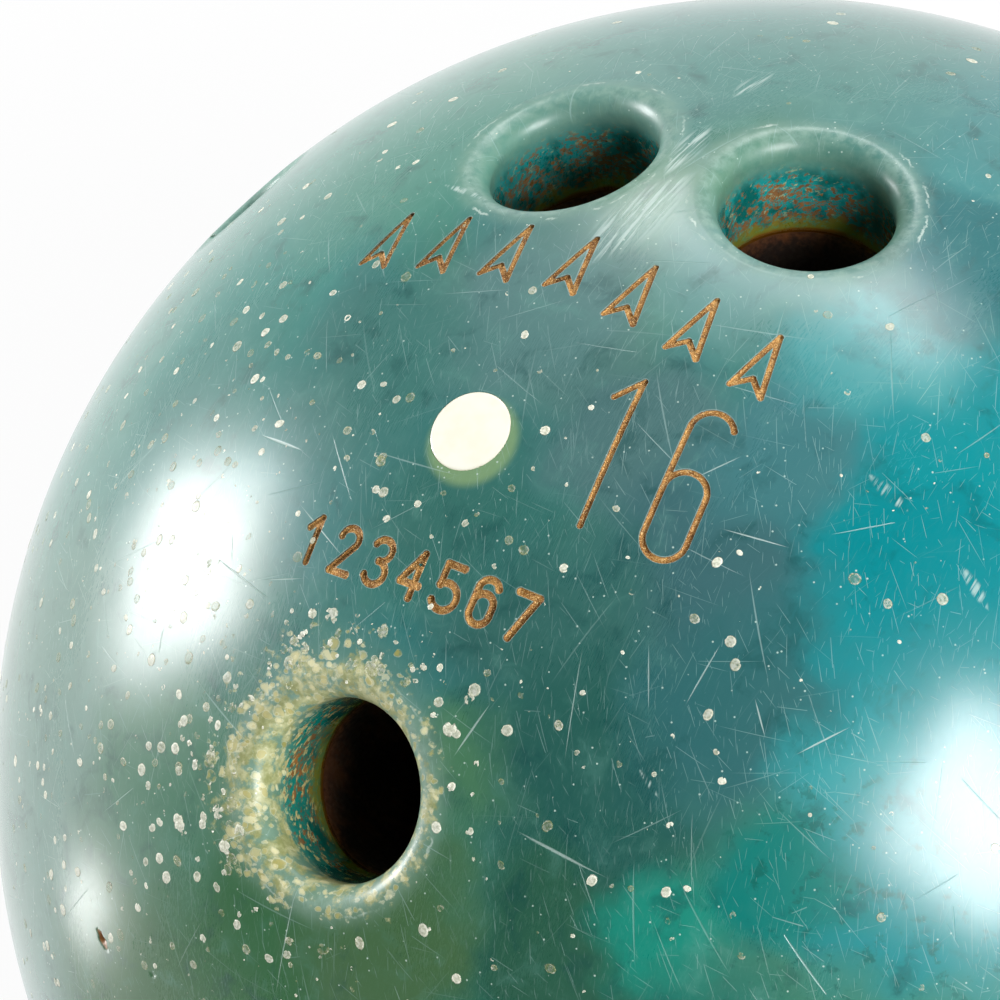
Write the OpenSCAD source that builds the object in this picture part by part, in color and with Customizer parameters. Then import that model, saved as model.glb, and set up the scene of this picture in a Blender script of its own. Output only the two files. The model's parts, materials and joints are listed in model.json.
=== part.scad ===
// Ten-pin bowling ball, cast in layers around a weight block and drilled for a right hand.
// Millimetres. The origin is the centre of the ball, +Z goes up through the locator pin
// and +Y points from the thumb hole towards the finger holes.

/* [Ball] */
// Diameter of the ball; the game's rules allow 215.9 to 218.3
ball_d = 217; // [200:0.5:235]
// Thickness of the cast polyester cover
cover_thickness = 15; // [8:0.5:25]
// Diameter of the weight block that sits in the top of the core
block_d = 64; // [40:1:90]
// Height of the weight block, from its domed top down
block_height = 22; // [12:1:30]
// Diameter of the locator pin
pin_d = 11.1; // [8:0.1:14]
// How far the pin is set into the weight block
pin_socket_depth = 6; // [3:0.5:10]

/* [Grip] */
// Diameter of the thumb hole
thumb_d = 23.6; // [20:0.2:28]
// Diameter of the two finger holes
finger_d = 23; // [18:0.2:26]
// Depth of the thumb hole, down to its drill point
thumb_depth = 70; // [50:1:80]
// Depth of the finger holes, down to their drill points
finger_depth = 57; // [40:1:68]
// Along the surface, from the locator pin to the middle of the thumb hole
pin_to_thumb = 49.2; // [42:0.2:60]
// Along the surface, from the thumb hole's edge to the left finger hole's edge
left_span = 73; // [62:0.5:88]
// Along the surface, from the thumb hole's edge to the right finger hole's edge
right_span = 78.7; // [68:0.1:94]
// Along the surface, between the edges of the finger holes
bridge = 12; // [10:0.5:16]
// Turn of the left span away from the line that joins the thumb hole and the pin
left_span_turn = 10.3; // [6:0.1:15]
// Height of the drill's cone at the bottom of every hole
drill_point = 3; // [1:0.5:5]

/* [Pitch: how far a hole's line passes the ball's centre] */
// Thumb hole, leaning away from the fingers
thumb_reverse_pitch = 3.4; // [0:0.2:10]
// Left finger hole, leaning away from the thumb
left_forward_pitch = 4.8; // [0:0.2:10]
// Right finger hole, leaning away from the thumb
right_forward_pitch = 5.6; // [0:0.2:10]
// Left finger hole, its mouth leaning to the right
left_lateral_pitch = 8.2; // [0:0.2:12]
// Right finger hole, its mouth leaning to the left
right_lateral_pitch = 13.2; // [0:0.2:16]

/* [Hole edges] */
// Rounding of the thumb hole's edge
thumb_edge = 3.2; // [1:0.2:5]
// Rounding of the finger holes' edges
finger_edge = 3; // [1:0.2:5]
// Rounding of the balance hole's edge
balance_edge = 2; // [0.5:0.5:3]

/* [Balance hole] */
// Diameter of the balance hole
balance_d = 14; // [10:0.5:20]
// Depth of the balance hole, down to its drill point
balance_depth = 35; // [20:1:45]
// Angle from the locator pin to the balance hole
balance_polar = 48.5; // [40:0.5:60]
// Direction of the balance hole, counted from +X
balance_heading = 157; // [145:1:175]

/* [Engraving] */
// The weight of the ball in pounds, as engraved
weight_digits = [1, 6];
// Height of the weight number
weight_height = 21.5; // [15:0.5:25]
// Width of a digit in the weight number
weight_width = 6.6; // [4:0.2:8]
// Digits of the plain running number
serial_digits = [1, 2, 3, 4, 5, 6, 7];
// Height of the running number
serial_height = 7; // [5:0.5:9]
// Number of lane arrows to either side of the middle one
arrows_each_side = 3; // [1:1:4]
// Length of a lane arrow
arrow_length = 9; // [6:0.5:11]
// Width of the cutter used for the large number and the arrows
large_stroke = 0.9; // [0.6:0.1:1.4]
// Width of the cutter used for the running number
small_stroke = 1.1; // [0.6:0.1:1.3]
// Depth of the engraving
groove_depth = 0.7; // [0.4:0.1:1.2]
// How far the paint lies below the surface of the ball
paint_recess = 0.2; // [0.1:0.05:0.35]

/* [Hidden] */

$fn = 60;
sphere_fn = 180;
clear = 1;                                  // how far a cutter runs past a surface
ball_r = ball_d / 2;
core_r = ball_r - cover_thickness;
block_floor = core_r - block_height;        // height of the block's flat underside
pin_foot = core_r - pin_socket_depth;       // height of the pin's lower end

// Places on the ball. A distance along the surface becomes an angle at the centre.
function turn(along) = along / ball_r * 180 / PI;
thumb_turn = turn(pin_to_thumb);
left_turn = turn(left_span + (thumb_d + finger_d) / 2);
right_turn = turn(right_span + (thumb_d + finger_d) / 2);
bridge_turn = turn(bridge + finger_d);
// Angle between the two spans at the thumb hole, from the three sides of their triangle
span_fork = acos((cos(bridge_turn) - cos(left_turn) * cos(right_turn))
    / (sin(left_turn) * sin(right_turn)));

// Layout of the engraving, as distances along the surface from the locator pin
serial_line = -23.3;                        // the line that the running number stands on
serial_pitch = serial_height * 0.78;
serial_width = serial_height * 0.56;
arrow_gap = 1;                              // between the middle arrow's tip and the finger holes
arrow_line = left_span + thumb_d / 2 - pin_to_thumb - finger_edge - arrow_gap - arrow_length / 2;
arrow_pitch = 10;
arrow_drop = 1.2;                           // each arrow's step back from the one before
arrow_width = 4.4;
arrow_notch = 2;
// The weight number stands to the right of the pin, in the space that the others leave it
weight_room = arrow_line - arrow_length / 2 - arrows_each_side * arrow_drop
    - serial_line - serial_height - weight_height;
weight_middle = [24.5, serial_line + serial_height + 0.7 * weight_room];
weight_lean = 5;
weight_pitch = weight_width * 1.65;
cap_r = 0.53;                               // stroke ends, in stroke widths: the cutter dwells there

// ---- placing ----

// Stands its children on the ball's surface, on a polar angle and a heading, +Z outwards.
// The children keep the directions of X and Y that they have at the locator pin.
module on_ball(polar, heading) {
    rotate([0, 0, heading]) rotate([0, polar, 0]) rotate([0, 0, -heading])
        translate([0, 0, ball_r]) children();
}

// The same, at a distance [x, y] along the surface from the locator pin.
module at_distance(p) {
    on_ball(turn(norm(p)), atan2(p[1], p[0])) children();
}

// The end of a span that starts at the thumb hole, with +Y leading away from the thumb.
module at_span_end(span_turn, heading) {
    rotate([thumb_turn, 0, 0]) rotate([0, 0, heading]) rotate([-span_turn, 0, 0])
        translate([0, 0, ball_r]) children();
}

// ---- drilled holes ----

// How far below the surface point the straight wall of a hole starts: the rounded edge
// begins where the ball has fallen away to the mouth's radius.
function mouth_dip(mouth_r) = ball_r - sqrt(ball_r * ball_r - mouth_r * mouth_r);

// A hole drilled down from the surface point z = 0. Its rounded edge follows the ball's
// surface, and its shaft leans from there by its pitches: forward to +Y, lateral to +X.
module hole(d, depth, edge, forward = 0, lateral = 0) {
    r = d / 2;
    mouth_r = r + edge;
    dip = mouth_dip(mouth_r);
    foot = dip + edge;
    rotate_extrude()
        difference() {
            translate([0, -foot]) square([mouth_r, foot + clear]);
            translate([mouth_r, -foot]) circle(edge);
        }
    translate([0, 0, -foot])
        rotate([-asin(forward / ball_r), asin(lateral / ball_r), 0])
            translate([0, 0, foot - depth]) {
                cylinder(h = depth - foot + edge, r = r);
                translate([0, 0, -drill_point]) cylinder(h = drill_point, r1 = r / 8, r2 = r);
            }
}

module grip_holes() {
    at_distance([0, -pin_to_thumb]) hole(thumb_d, thumb_depth, thumb_edge, -thumb_reverse_pitch);
    at_span_end(left_turn, left_span_turn)
        hole(finger_d, finger_depth, finger_edge, left_forward_pitch, left_lateral_pitch);
    at_span_end(right_turn, left_span_turn - span_fork)
        hole(finger_d, finger_depth, finger_edge, right_forward_pitch, -right_lateral_pitch);
}

module balance_hole() {
    on_ball(balance_polar, balance_heading) hole(balance_d, balance_depth, balance_edge);
}

// ---- engraved strokes ----

module line_stroke(p, q, w) {
    length = norm(q - p);
    translate(p) rotate([0, 0, atan2(q[1] - p[1], q[0] - p[0])])
        translate([0, -w / 2]) square([length, w]);
    for (end = [p, q])
        translate(end) circle(cap_r * w);
}

// An arc about c from angle a0 to a1, drawn anticlockwise.
module arc_stroke(c, r, a0, a1, w) {
    steps = 8;
    translate(c) {
        intersection() {
            difference() {
                circle(r + w / 2);
                circle(r - w / 2);
            }
            polygon(concat([[0, 0]],
                [for (i = [0 : steps]) let (a = a0 + (a1 - a0) * i / steps) 2 * r * [cos(a), sin(a)]]));
        }
        for (a = [a0, a1])
            translate(r * [cos(a), sin(a)]) circle(cap_r * w);
    }
}

// Strokes of a plain digit that stands on y = 0: [p, q] is a line, [c, r, a0, a1] an arc.
function strokes(n, w, h) =
    let (r = w / 2, waist = h * 0.44)
    n == 0 ? [[[0, r], r, 180, 360], [[0, h - r], r, 0, 180], [[-r, r], [-r, h - r]], [[r, r], [r, h - r]]]
    : n == 1 ? [[[0, 0], [0, h]], [[0, h], [-r, h - 1.1 * r]]]
    : n == 2 ? [[[0, h - r], r, -40, 175], [[r * cos(40), h - r - r * sin(40)], [-r, 0]], [[-r, 0], [r, 0]]]
    : n == 3 ? [[[0, h - r], r, -90, 155], [[0, (h - 2 * r) / 2], (h - 2 * r) / 2, -155, 90]]
    : n == 4 ? [[[r / 2, 0], [r / 2, h]], [[r / 2, h], [-r, h * 0.3]], [[-r, h * 0.3], [r, h * 0.3]]]
    : n == 5 ? [[[-0.8 * r, h], [0.9 * r, h]], [[-0.8 * r, h], [-0.8 * r, h * 0.52]],
        [[0, h * 0.3], h * 0.3, -150, 132]]
    : n == 6 ? [[[0, r], r, 180, 360], [[0, waist], r, 0, 180], [[r, r], [r, waist]],
        [[-r, r], [-r, h - r]], [[0, h - r], r, 25, 180]]
    : n == 7 ? [[[-r, h], [r, h]], [[r, h], [-0.4 * r, 0]]]
    : n == 8 ? [[[0, h - r], r, 0, 359], [[0, (h - 2 * r) / 2], (h - 2 * r) / 2, 0, 359]]
    : [[[0, h - r], r, 0, 359], [[r, h - r], [0.2 * r, 0]]];

module digit(n, w, h, stroke_w) {
    for (s = strokes(n, w, h))
        if (len(s) == 2) line_stroke(s[0], s[1], stroke_w);
        else arc_stroke(s[0], s[1], s[2], s[3], stroke_w);
}

// A row of digits of overall size w by h, each cut straight down around its own middle.
module digit_row(digits, middle, lean, pitch, w, h, stroke_w) {
    for (i = [0 : len(digits) - 1])
        at_distance(middle + [(i - (len(digits) - 1) / 2) * pitch, h / 2])
            rotate([0, 0, lean]) translate([0, (stroke_w - h) / 2, -2 * clear])
                linear_extrude(3 * clear) digit(digits[i], w - stroke_w, h - stroke_w, stroke_w);
}

module weight_number() {
    digit_row(weight_digits, weight_middle, weight_lean, weight_pitch, weight_width, weight_height,
        large_stroke);
}

module running_number() {
    digit_row(serial_digits, [1.5, serial_line], 0, serial_pitch, serial_width, serial_height,
        small_stroke);
}

// One slender dart, outlined, with a notched base.
module arrow() {
    tip = [0, arrow_length / 2];
    notch = [0, -arrow_length / 2 + arrow_notch];
    for (side = [-1, 1]) {
        tail = [side * arrow_width / 2, -arrow_length / 2];
        line_stroke(tip, tail, large_stroke);
        line_stroke(tail, notch, large_stroke);
    }
}

// The arrows of a lane, in their shallow V.
module lane_arrows() {
    for (i = [-arrows_each_side : arrows_each_side])
        at_distance([i * arrow_pitch, arrow_line - abs(i) * arrow_drop])
            translate([0, 0, -2 * clear]) linear_extrude(3 * clear) arrow();
}

// The part of its children that lies between the groove's floor and the given radius.
module groove_band(outer_r) {
    intersection() {
        children();
        difference() {
            sphere(outer_r, $fn = sphere_fn);
            sphere(ball_r - groove_depth, $fn = sphere_fn);
        }
    }
}

// ---- the pieces ----

module block_shape() {
    intersection() {
        translate([0, 0, block_floor]) cylinder(h = block_height + clear, d = block_d);
        sphere(core_r, $fn = sphere_fn);
    }
}

module pin_shape(top) {
    translate([0, 0, pin_foot]) cylinder(h = top - pin_foot, d = pin_d);
}

// Translucent polyester shell, cast around the core, drilled and engraved.
module coverstock() {
    color("#2f8c88")
    difference() {
        sphere(ball_r, $fn = sphere_fn);
        sphere(core_r, $fn = sphere_fn);
        pin_shape(ball_r + clear);
        grip_holes();
        balance_hole();
        difference() {
            union() {
                weight_number();
                running_number();
                lane_arrows();
            }
            sphere(ball_r - groove_depth, $fn = sphere_fn);
        }
    }
}

// Filler ball that carries the weight block in its top.
module core() {
    color("#4a3425")
    difference() {
        sphere(core_r, $fn = sphere_fn);
        translate([0, 0, block_floor]) cylinder(h = block_height + clear, d = block_d);
        grip_holes();
        balance_hole();
    }
}

// Dense puck under the pin; the grip holes notch its rim.
module weight_block() {
    color("#75683f")
    difference() {
        block_shape();
        pin_shape(core_r + clear);
        grip_holes();
    }
}

// White peg that held the core in the mould; its end is ground flush with the ball.
module locator_pin() {
    color("#fbfaf0")
    intersection() {
        pin_shape(ball_r + clear);
        sphere(ball_r, $fn = sphere_fn);
    }
}

// Copper paint wiped into each group of engraving.
module weight_number_paint() {
    color("#b07a4a") groove_band(ball_r - paint_recess) weight_number();
}

module running_number_paint() {
    color("#b07a4a") groove_band(ball_r - paint_recess) running_number();
}

module lane_arrow_paint() {
    color("#b07a4a") groove_band(ball_r - paint_recess) lane_arrows();
}

coverstock();
core();
weight_block();
locator_pin();
weight_number_paint();
running_number_paint();
lane_arrow_paint();
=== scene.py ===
import json
import math

import bpy
import numpy as np
from mathutils import Matrix, Vector, noise
from mathutils.bvhtree import BVHTree
from mathutils.geometry import delaunay_2d_cdt


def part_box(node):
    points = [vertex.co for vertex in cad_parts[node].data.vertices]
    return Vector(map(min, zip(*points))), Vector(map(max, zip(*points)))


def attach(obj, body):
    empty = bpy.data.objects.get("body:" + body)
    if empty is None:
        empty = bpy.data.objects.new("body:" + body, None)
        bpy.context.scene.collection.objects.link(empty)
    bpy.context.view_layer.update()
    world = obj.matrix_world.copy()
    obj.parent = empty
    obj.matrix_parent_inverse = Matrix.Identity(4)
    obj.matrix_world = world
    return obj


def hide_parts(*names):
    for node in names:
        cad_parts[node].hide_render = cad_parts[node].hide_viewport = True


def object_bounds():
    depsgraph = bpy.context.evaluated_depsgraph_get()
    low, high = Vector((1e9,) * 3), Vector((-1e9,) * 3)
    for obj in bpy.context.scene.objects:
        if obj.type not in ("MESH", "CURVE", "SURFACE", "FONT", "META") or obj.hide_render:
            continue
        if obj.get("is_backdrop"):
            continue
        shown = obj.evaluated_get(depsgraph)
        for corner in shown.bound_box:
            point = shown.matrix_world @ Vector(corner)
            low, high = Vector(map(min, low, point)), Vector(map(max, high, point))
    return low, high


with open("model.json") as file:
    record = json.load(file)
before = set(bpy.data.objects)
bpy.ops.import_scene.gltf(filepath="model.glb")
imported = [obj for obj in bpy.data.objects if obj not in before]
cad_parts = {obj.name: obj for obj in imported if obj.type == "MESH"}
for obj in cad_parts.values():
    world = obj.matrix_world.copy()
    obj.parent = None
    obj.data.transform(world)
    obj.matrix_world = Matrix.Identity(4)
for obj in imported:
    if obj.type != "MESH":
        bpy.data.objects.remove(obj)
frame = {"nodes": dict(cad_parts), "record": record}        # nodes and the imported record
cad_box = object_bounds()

MM = 0.001
scene = bpy.context.scene
nodes = frame["nodes"]
mounts = {mount["name"]: mount for mount in frame["record"]["mounts"]}
ball_r = Vector(mounts["rest_point"]["pos_m"]).length


# ---- Core ----
# The filler ball inside the cover: mineral-filled rubber, cast round the weight block and turned true.
# It shows only as the dark lower wall of the drilled holes, stained rusty where the drill cut it.

class Lead:
    """An output of a shader node that can stand in a sum: each operator adds a Math node."""

    def __init__(self, finish, socket):
        self.finish = finish
        self.socket = socket

    def maths(self, operation, *terms):
        return self.finish.node("Math", {"operation": operation}, terms)

    def sibling(self, name):
        """Another output of the same node."""
        return Lead(self.finish, self.socket.node.outputs[name])

    def __add__(self, other):
        return self.maths("ADD", self, other)

    def __sub__(self, other):
        return self.maths("SUBTRACT", self, other)

    def __mul__(self, other):
        return self.maths("MULTIPLY", self, other)

    def __rsub__(self, other):
        return self.maths("SUBTRACT", other, self)

    def __abs__(self):
        return self.maths("ABSOLUTE", self)


class Nodes:
    """The node tree of a material or a world under construction, with one method that adds any node."""

    def __init__(self, owner):
        self.owner = owner
        self.owner.use_nodes = True
        self.tree = self.owner.node_tree
        self.tree.nodes.clear()

    def node(self, kind, settings, values, out=0):
        added = self.tree.nodes.new("ShaderNode" + kind)
        for setting, choice in settings.items():
            setattr(added, setting, choice)
        for socket, value in (values.items() if isinstance(values, dict) else enumerate(values)):
            if isinstance(value, Lead):
                self.tree.links.new(value.socket, added.inputs[socket])
            else:
                added.inputs[socket].default_value = value
        return Lead(self, added.outputs[out]) if len(added.outputs) else added


class Finish(Nodes):
    """A material, with the steps that its looks are made of. Places and depths in it are in millimetres."""

    def __init__(self, name):
        super().__init__(bpy.data.materials.new(name))
        metres = self.node("TexCoord", {}, {}, out="Object")
        self.place = self.vector("SCALE", metres, scale=1 / MM)
        self.depth = ball_r / MM - self.vector("LENGTH", self.place)

    def vector(self, operation, first, second=(0, 0, 0), third=(0, 0, 0), scale=1.0):
        out = 1 if operation in ("LENGTH", "DISTANCE", "DOT_PRODUCT") else 0
        return self.node("VectorMath", {"operation": operation}, (first, second, third, scale), out)

    def fade(self, value, start, end, low=0.0, high=1.0):
        """low where the value is at start, high where it is at end, and smooth between."""
        return self.node("MapRange", {"interpolation_type": "SMOOTHSTEP"}, (value, start, end, low, high))

    def mix(self, share, first, second):
        return self.node("Mix", {"data_type": "RGBA"}, {0: share, 6: first, 7: second}, out=2)

    def over(self, share, tint):
        """Lays a tint over the colour so far."""
        self.colour = self.mix(share, self.colour, tint)

    def clouds(self, place, size, detail=2.0, roughness=0.5, out=0):
        """Soft noise whose lumps are about size millimetres across."""
        return self.node("TexNoise", {}, {"Vector": place, "Scale": 1 / size, "Detail": detail,
                                          "Roughness": roughness}, out)

    def stretch(self, place, factors, offset=(0, 0, 0)):
        return self.vector("MULTIPLY_ADD", place, factors, offset)

    def dot(self, first, second):
        return self.vector("DOT_PRODUCT", first, second if isinstance(second, Lead) else tuple(second))

    def bump(self, height, depth):
        """A relief whose height from 0 to 1 stands for depth millimetres."""
        return self.node("Bump", {}, {"Height": height, "Distance": depth * MM})

    def shell(self, **values):
        """The Principled shader on the output; its sockets are given as base_color, roughness and so on."""
        named = {socket.replace("_", " ").title(): value for socket, value in values.items()}
        if "Ior" in named:
            named["IOR"] = named.pop("Ior")
        shader = self.node("BsdfPrincipled", {}, named)
        self.node("OutputMaterial", {}, {0: shader})
        return self.owner


def paint(red, green, blue):
    """A colour given as on a screen, from 0 to 255."""
    def linear(value):
        value /= 255
        return value / 12.92 if value <= 0.04045 else ((value + 0.055) / 1.055) ** 2.4
    return (linear(red), linear(green), linear(blue), 1.0)


def dress(piece, material):
    """Puts one material in all of a piece's slots."""
    piece.data.materials.clear()
    piece.data.materials.append(material)


def core_finish():
    finish = Finish("core_filler")
    grain = finish.clouds(finish.place, 0.7, detail=6.0)
    stain = finish.clouds(finish.stretch(finish.place, (1, 1, 0.4)), 5.0, detail=5.0, roughness=0.65)
    finish.colour = finish.mix(finish.fade(stain, 0.42, 0.7), paint(40, 26, 18), paint(92, 54, 26))
    near_cover = finish.fade(finish.depth + stain * 8 + grain * 5, 23.5, 19.5) * 0.9
    finish.over(near_cover, paint(126, 70, 22))
    return finish.shell(base_color=finish.colour, roughness=finish.fade(grain, 0.3, 0.7, 0.6, 0.9),
                        normal=finish.bump(grain, 0.12))


core = nodes["core"]
core_r = max(vertex.co.length for vertex in core.data.vertices)
dress(core, core_finish())


# ---- Weight block ----
# The dense puck under the pin that makes up for the weight drilled out: barium-filled polyester.
# Cast in its own mould and set into the core before the cover is poured.

def block_finish():
    finish = Finish("weight_block_filler")
    specks = finish.clouds(finish.place, 0.5, detail=4.0)
    swirl = finish.clouds(finish.place, 9.0, detail=4.0, roughness=0.6)
    finish.colour = finish.mix(finish.fade(swirl, 0.35, 0.65), paint(38, 26, 16), paint(70, 52, 30))
    finish.over(finish.fade(specks, 0.62, 0.72), paint(120, 104, 74))
    return finish.shell(base_color=finish.colour, roughness=finish.fade(specks, 0.3, 0.7, 0.55, 0.8),
                        normal=finish.bump(specks, 0.06))


dress(nodes["weight_block"], block_finish())


# ---- Locator pin ----
# The white polyester peg that held the core in the middle of the mould while the cover was poured.
# Its end was ground flush with the ball, so it shows as a clean disc with a hair-thin seam.

def join(name, points, faces):
    """A mesh object from points in millimetres; the object sits at the origin, unturned."""
    mesh = bpy.data.meshes.new(name)
    mesh.from_pydata([tuple(point * MM for point in place) for place in points], [], faces)
    mesh.validate()
    mesh.shade_smooth()
    piece = bpy.data.objects.new(name, mesh)
    scene.collection.objects.link(piece)
    return piece


def lathe(name, profile, steps):
    """Turns a profile of (radius, height) points about Z; its first and last points lie on the axis."""
    points = [(0.0, 0.0, profile[0][1])]
    for radius, height in profile[1:-1]:
        for step in range(steps):
            angle = math.tau * step / steps
            points.append((radius * math.cos(angle), radius * math.sin(angle), height))
    points.append((0.0, 0.0, profile[-1][1]))
    last = len(points) - 1
    faces = []
    for step in range(steps):
        after = (step + 1) % steps
        faces.append((0, 1 + after, 1 + step))
        for ring in range(len(profile) - 3):
            low = 1 + ring * steps
            faces.append((low + step, low + after, low + steps + after, low + steps + step))
        top = last - steps
        faces.append((top + step, top + after, last))
    return join(name, points, faces)


def pin_finish():
    finish = Finish("pin_white")
    rub = finish.clouds(finish.stretch(finish.place, (6, 0.6, 1)), 1.0, detail=3.0)
    age = finish.clouds(finish.place, 3.0, detail=3.0)
    finish.colour = finish.mix(finish.fade(age, 0.35, 0.7), paint(247, 246, 231), paint(243, 241, 222))
    rim = finish.fade(finish.vector("LENGTH", finish.stretch(finish.place, (1, 1, 0))), pin_r - 0.25, pin_r)
    finish.over(rim * 0.5, paint(214, 208, 166))
    return finish.shell(base_color=finish.colour, roughness=finish.fade(rub, 0.3, 0.7, 0.34, 0.46),
                        normal=finish.bump(rub, 0.004), coat_weight=0.2, coat_roughness=0.12)


pin_low, pin_high = (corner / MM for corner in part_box("locator_pin"))
pin_r = (pin_high.x - pin_low.x) / 2
PIN_BEVEL = 0.12
PIN_STEPS = 96


def pin_profile():
    """From the foot up the side, over the worn edge and across the ground end, which follows the ball."""
    profile = [(0, pin_low.z), (pin_r - PIN_BEVEL, pin_low.z), (pin_r - 0.01, pin_low.z + PIN_BEVEL)]
    ball = ball_r / MM
    for share in (1.0, 0.995, 0.985):
        radius = (pin_r - 0.01) * share
        drop = PIN_BEVEL * max(0.0, (share - 0.985) / 0.015) ** 2
        profile.append((radius, math.sqrt(ball ** 2 - radius ** 2) - drop))
    for share in (0.9, 0.75, 0.5, 0.25):
        radius = pin_r * share
        profile.append((radius, math.sqrt(ball ** 2 - radius ** 2)))
    return profile + [(0, ball)]


pin = lathe("pin", pin_profile(), PIN_STEPS)
dress(pin, pin_finish())
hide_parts("locator_pin")
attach(pin, "root")


# ---- Coverstock ----
# The polished shell of clouded, half-clear polyester, poured round the core in a ball mould and ground.
# Drilled for thumb, fingers and balance with rounded mouths, engraved, and long scratched by play.

LATTICE = 2.4            # spacing of the points over the plain ball, in millimetres
NEAR_LATTICE = 0.8       # ... close to the engraving
FINE_LATTICE = 0.17      # ... in and beside the cut strokes
INNER_LATTICE = 6.0      # ... over the inside of the shell
NEAR_REACH = 2.4         # how far the closer points go from a stroke
FINE_REACH = 0.3
GROOVE_DEPTH = 0.7
HOLE_STEPS = 96
LIP_STEPS = 9
WALL_STEPS = 12
SOUTH_POLAR = math.radians(175)   # past this the skin is closed with a fan
SOUTH_STEPS = 24
SOUTH_CLEAR = 0.003      # what the lattice stays clear of the fan, as a share of the radius
GRIP_CAP = 0.8           # all of the engraving lies above this share of the radius
WALL_LEVEL = 0.64        # where the walls of a groove are felt for, as a share of its depth
CHIP_REACH = 3.5         # half the side of the fine patch over a nick
CHIP_LATTICE = 0.3
RIM_CLEAR = 0.35         # what the lattice stays clear of a mouth
lip_r = {"thumb_hole": 3.2, "left_finger_hole": 3.0, "right_finger_hole": 3.0, "balance_hole": 2.0}
outer = ball_r / MM
inner = core_r / MM + 0.01
stroke_width = {"weight_number_paint": 0.9, "running_number_paint": 1.1, "lane_arrow_paint": 0.9}


def towards(heading, height):
    """The direction with this heading from +X and this height above the equator, in degrees."""
    turn, rise = math.radians(heading), math.radians(height)
    return np.array((math.cos(rise) * math.cos(turn), math.cos(rise) * math.sin(turn), math.sin(rise)))


def unit(vectors):
    return vectors / np.linalg.norm(vectors, axis=-1, keepdims=True)


def flatten(directions):
    """Lays directions out on a plane that touches the ball at the pin, keeping all small shapes."""
    return 2 * outer * directions[:, :2] / (1 + directions[:, 2:3])


def lift(plane):
    """The directions of places on that plane."""
    share = plane / (2 * outer)
    square = (share ** 2).sum(1, keepdims=True)
    return np.hstack((2 * share, 1 - square)) / (1 + square)


def spiral(spacing):
    """Directions spread evenly over the ball, on a golden spiral."""
    count = int(4 * math.pi * outer ** 2 / (spacing ** 2 * math.sqrt(3) / 2))
    index = np.arange(count) + 0.5
    height = 1 - 2 * index / count
    angle = index * math.pi * (3 - math.sqrt(5))
    flat = np.sqrt(1 - height ** 2)
    return np.column_stack((flat * np.cos(angle), flat * np.sin(angle), height))


class Hole:
    """A drilled hole: the rings of its rounded mouth, of its wall, and of its exit into the core."""

    def __init__(self, name):
        mount = mounts[name]
        self.name = name
        self.r = mount["dims"]["r_mm"]
        self.lip = lip_r[name]
        axis = np.array(mount["axis"])
        middle = np.array(mount["pos_m"]) / MM
        reach = self.r + self.lip
        foot_r = math.sqrt(outer ** 2 - reach ** 2) - self.lip
        along = axis @ middle
        foot = middle + axis * (math.sqrt(foot_r ** 2 - middle @ middle + along ** 2) - along)
        self.out = unit(foot)
        side = unit(np.array((1.0, 0, 0)) - self.out * self.out[0])
        angle = np.linspace(0, math.tau, HOLE_STEPS, endpoint=False)[:, None]
        ring = side * np.cos(angle) + np.cross(self.out, side) * np.sin(angle)
        # the mouth is a round that touches both the ball and the wall
        centre_height = math.sqrt((outer - self.lip) ** 2 - reach ** 2)
        self.mouth_r = reach * outer / (outer - self.lip)
        slope = math.asin(reach / (outer - self.lip))
        self.rings = []
        for step in range(LIP_STEPS + 1):
            lean = slope + (-math.pi / 2 - slope) * step / LIP_STEPS
            across = reach + self.lip * math.sin(lean)
            height = centre_height + self.lip * math.cos(lean)
            self.rings.append(ring * across + self.out * height)
        # the wall leans with the drill, down to the core
        side = unit(side - axis * (axis @ side))
        ring = side * np.cos(angle) + np.cross(axis, side) * np.sin(angle)
        start = self.out * centre_height + ring * self.r
        sunk = start @ axis
        fall = sunk - np.sqrt(sunk ** 2 - (start ** 2).sum(1) + inner ** 2)
        for step in range(1, WALL_STEPS + 1):
            self.rings.append(start - np.outer(fall * step / WALL_STEPS, axis))


def pin_hole_rings():
    """The straight hole that the pin fills."""
    angle = np.linspace(0, math.tau, PIN_STEPS, endpoint=False)
    flat = np.column_stack((np.cos(angle), np.sin(angle))) * pin_r
    heights = (math.sqrt(radius ** 2 - pin_r ** 2) for radius in (outer, inner))
    return [np.column_stack((flat, np.full(PIN_STEPS, height))) for height in heights]


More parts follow.
